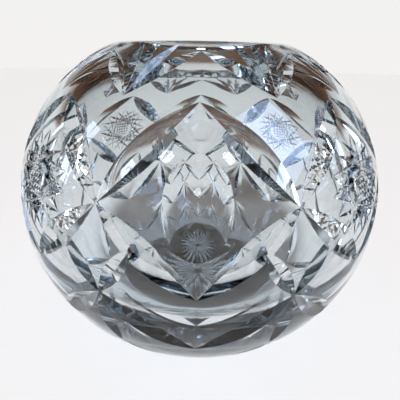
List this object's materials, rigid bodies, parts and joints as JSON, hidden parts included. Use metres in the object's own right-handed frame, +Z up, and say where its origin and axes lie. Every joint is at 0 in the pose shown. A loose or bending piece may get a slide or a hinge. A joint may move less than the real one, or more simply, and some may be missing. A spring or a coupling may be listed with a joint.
{
  "type": "rose bowl vase",
  "caption": "Round rose bowl vase of heavy cut clear crystal, with a full belly, a narrow open mouth and a flat base, for flowers in water.",
  "frame": {"origin": "under the middle of the flat base, on the surface that the bowl stands on", "axes": "+Z up through the mouth, -Y towards the middle of the clear diamond that faces the viewer, +X to the viewer's right"},
  "size_m": [0.165, 0.165, 0.1328],
  "materials": {
    "crystal": "polished cut crystal"
  },
  "bodies": {
    "root": {"bowl": "crystal"}
  },
  "joints": []
}
